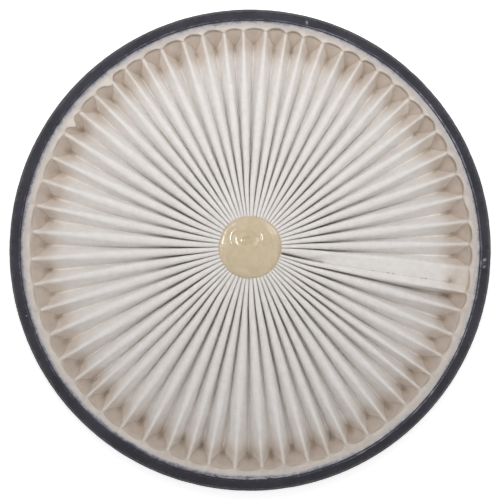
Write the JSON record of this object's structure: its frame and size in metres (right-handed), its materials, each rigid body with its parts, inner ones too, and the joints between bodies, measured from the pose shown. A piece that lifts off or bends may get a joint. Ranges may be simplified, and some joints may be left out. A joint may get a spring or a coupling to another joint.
{
  "type": "vacuum hepa filter",
  "caption": "Round flat HEPA filter: white filter paper in radial pleats, potted with glue in a charcoal ring with a lip seal and gathered at a hot-melt centre plug.",
  "frame": {"origin": "centre of the ring on its back face", "axes": "+Z along the ring's axis, out of the front face; +Y towards the side the centre plug is offset to, which is the top of the picture; +X to the picture's right"},
  "size_m": [0.15, 0.15, 0.0128],
  "materials": {
    "ring_plastic": "satin moulded charcoal plastic with a slight blue cast",
    "seal_rubber": "matte black-grey rubber",
    "potting_glue": "cast cream glue, half gloss",
    "filter_paper": "warm white fibrous filter paper, matte",
    "plug_glue": "beige hot-melt glue, glossy",
    "seam_glue": "thin beige glue line"
  },
  "bodies": {
    "root": {"frame_ring": "ring_plastic", "rim_seal": "seal_rubber", "potting_ring": "potting_glue", "pleated_media": "filter_paper", "centre_plug": "plug_glue", "seam_glue": "seam_glue"}
  },
  "joints": []
}
